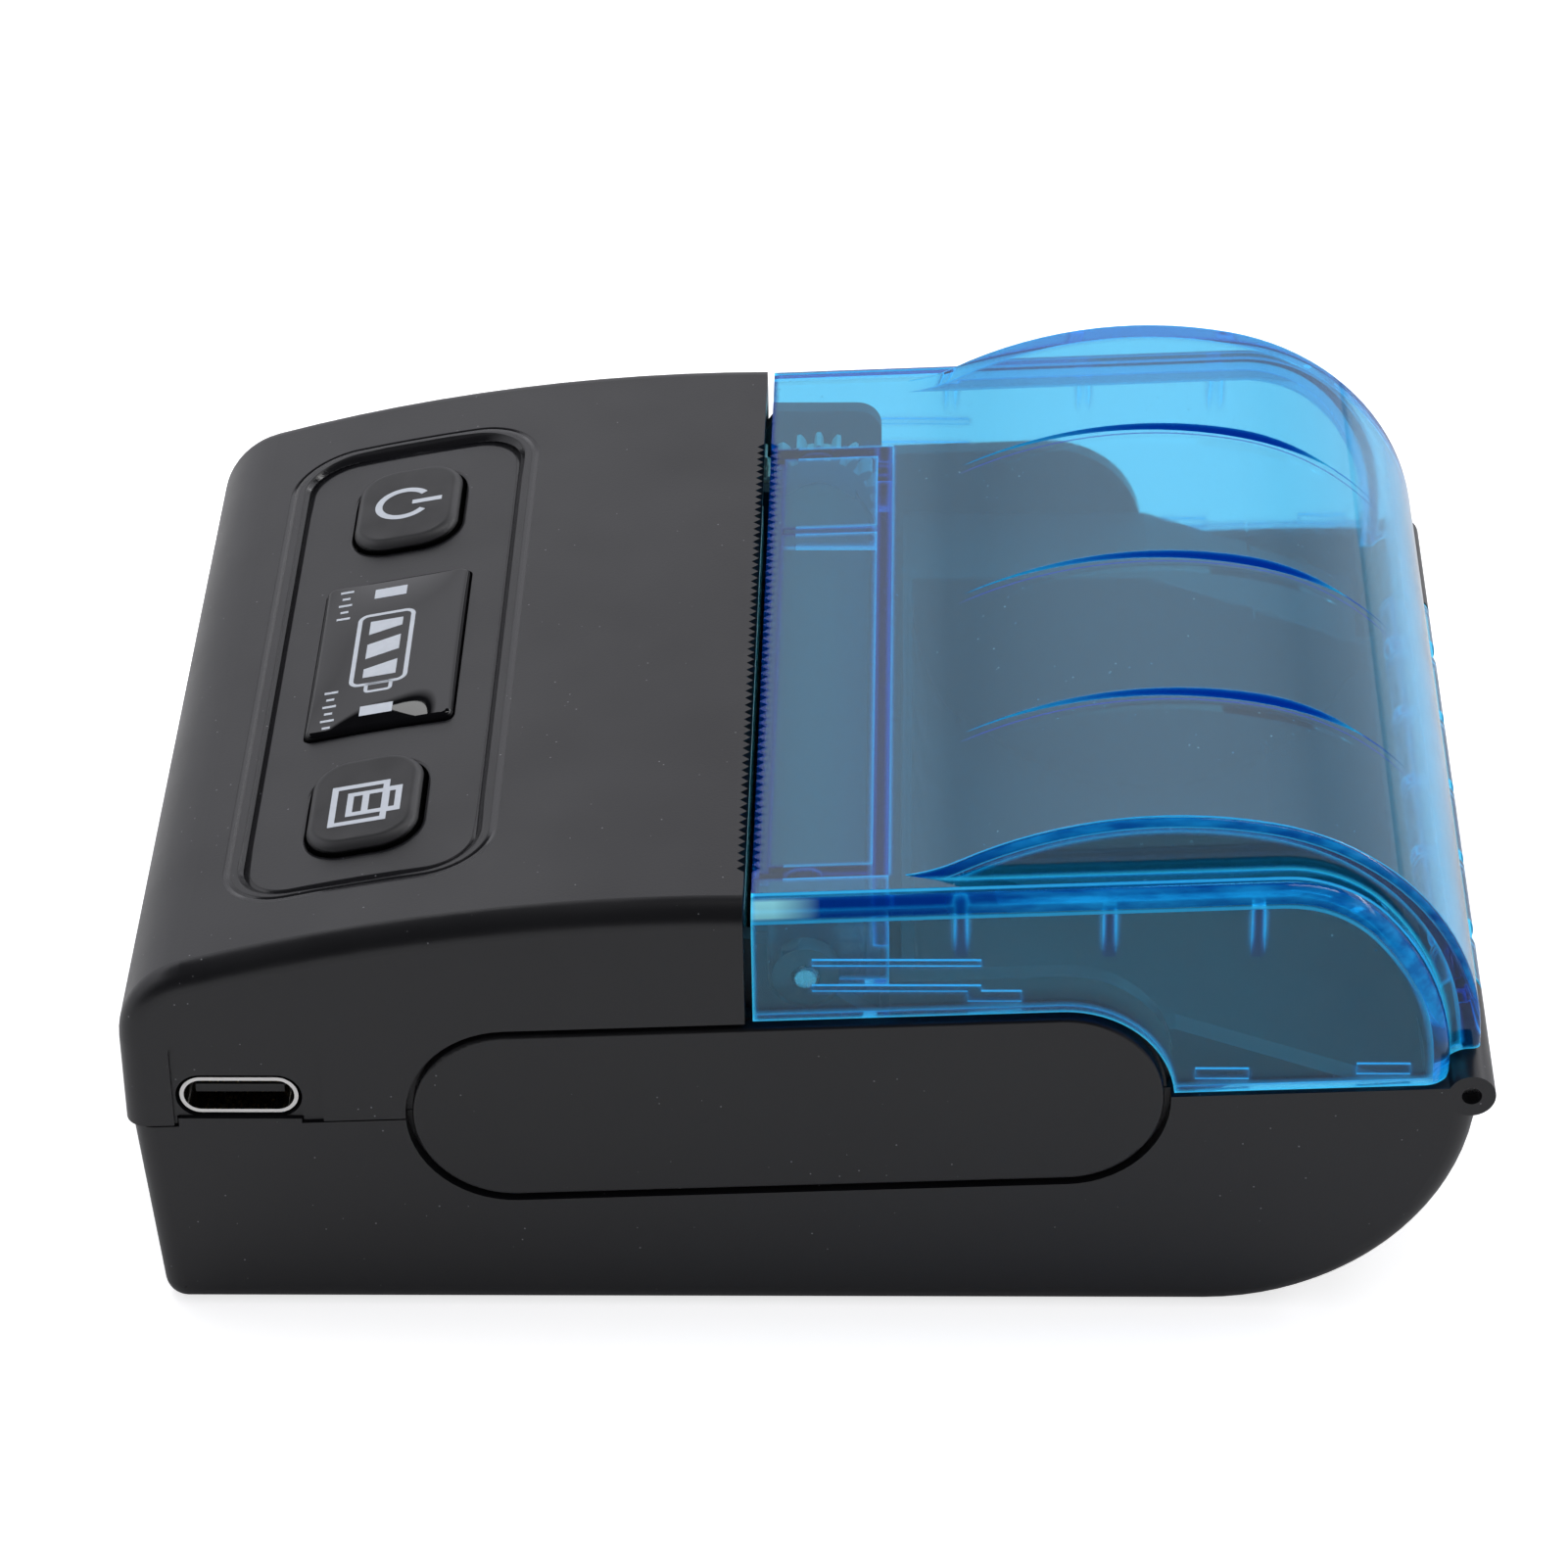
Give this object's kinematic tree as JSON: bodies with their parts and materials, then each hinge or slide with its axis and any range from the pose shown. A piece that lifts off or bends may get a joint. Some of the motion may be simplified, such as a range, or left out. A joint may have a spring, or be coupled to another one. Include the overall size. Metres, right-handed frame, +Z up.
{
  "type": "portable receipt printer",
  "caption": "Palm-sized thermal receipt printer with a black case, recessed key panel, USB-C port and a hinged translucent blue paper cover that carries the platen roller.",
  "frame": {"origin": "on the flat base, under the middle of the printer's length and width", "axes": "+X to the side with the charging port, +Y from the nose to the hinge, +Z up"},
  "size_m": [0.08, 0.1028, 0.043],
  "materials": {
    "case_black": "fine spark texture, satin",
    "insert_black": "fine texture, satin",
    "window_black": "polished, smoked",
    "button_black": "satin",
    "cover_blue": "polished, translucent blue",
    "steel": "ground",
    "port_steel": "bright",
    "gilt": "plated",
    "brass": "turned",
    "inner_black": "as moulded",
    "gear_white": "as moulded",
    "platen_rubber": "ground, matt",
    "aluminium": "as extruded",
    "head_ceramic": "glazed strip on a plain body",
    "board_green": "solder mask",
    "chip_black": "moulded",
    "battery_wrap": "shrink wrap",
    "lamp_white": "clear cap",
    "guide_frost": "frosted",
    "ribbon_amber": "flexible film"
  },
  "bodies": {
    "case": {"lower_case": "case_black", "upper_case": "case_black", "side_insert_left": "insert_black", "side_insert_right": "insert_black", "display_window": "window_black", "power_switch": "chip_black", "feed_switch": "chip_black", "button_board": "board_green", "button_board_screws": "steel", "status_lamps": "lamp_white", "light_guide": "guide_frost", "usb_shell": "port_steel", "usb_tongue": "chip_black", "usb_pads": "gilt", "main_board": "board_green", "board_chips": "chip_black", "board_screws": "steel", "battery_pack": "battery_wrap", "case_screws": "steel", "idler_axle": "steel", "stepper_motor": "steel", "gearbox_cover": "inner_black", "mechanism_frame": "inner_black", "mechanism_screws": "steel", "paper_sensor": "chip_black", "thermal_head": "head_ceramic", "head_heat_sink": "aluminium", "head_spring_left": "steel", "head_spring_right": "steel", "paper_bin": "inner_black", "head_ribbon": "ribbon_amber", "panel_ribbon": "ribbon_amber", "hinge_pin": "steel"},
    "paper_cover": {"paper_cover": "cover_blue", "platen_bush_left": "gear_white", "platen_bush_right": "gear_white"},
    "platen": {"platen_roller": "platen_rubber", "platen_shaft": "steel", "platen_gear": "gear_white"},
    "idler": {"idler_gear": "gear_white"},
    "motor_rotor": {"motor_pinion": "brass", "motor_shaft": "steel"},
    "power_key": {"power_button": "button_black", "power_plunger": "inner_black"},
    "feed_key": {"feed_button": "button_black", "feed_plunger": "inner_black"}
  },
  "joints": [
    {"name": "cover_hinge", "type": "hinge", "parent": "case", "child": "paper_cover", "pos_m": [0, 0.0496, 0.02025], "axis": [-1, 0, 0], "range_deg": [0, 100]},
    {"name": "platen_spin", "type": "hinge", "parent": "paper_cover", "child": "platen", "pos_m": [0, 0, 0.0295], "axis": [1, 0, 0], "continuous": true},
    {"name": "idler_spin", "type": "hinge", "parent": "case", "child": "idler", "pos_m": [0, -0.0077, 0.02591], "axis": [1, 0, 0], "continuous": true},
    {"name": "motor_spin", "type": "hinge", "parent": "case", "child": "motor_rotor", "pos_m": [0, -0.01701, 0.02053], "axis": [1, 0, 0], "continuous": true},
    {"name": "power_press", "type": "slide", "parent": "case", "child": "power_key", "axis": [0, 0.1953, -0.9807], "range_m": [0, 0.0004], "stiffness_N_per_m": 1500},
    {"name": "feed_press", "type": "slide", "parent": "case", "child": "feed_key", "axis": [0, 0.1953, -0.9807], "range_m": [0, 0.0004], "stiffness_N_per_m": 1500}
  ],
  "couplings": [
    {"joint": "idler_spin", "follows": "platen_spin", "ratio": -1.4286},
    {"joint": "motor_spin", "follows": "platen_spin", "ratio": 3.2967}
  ]
}
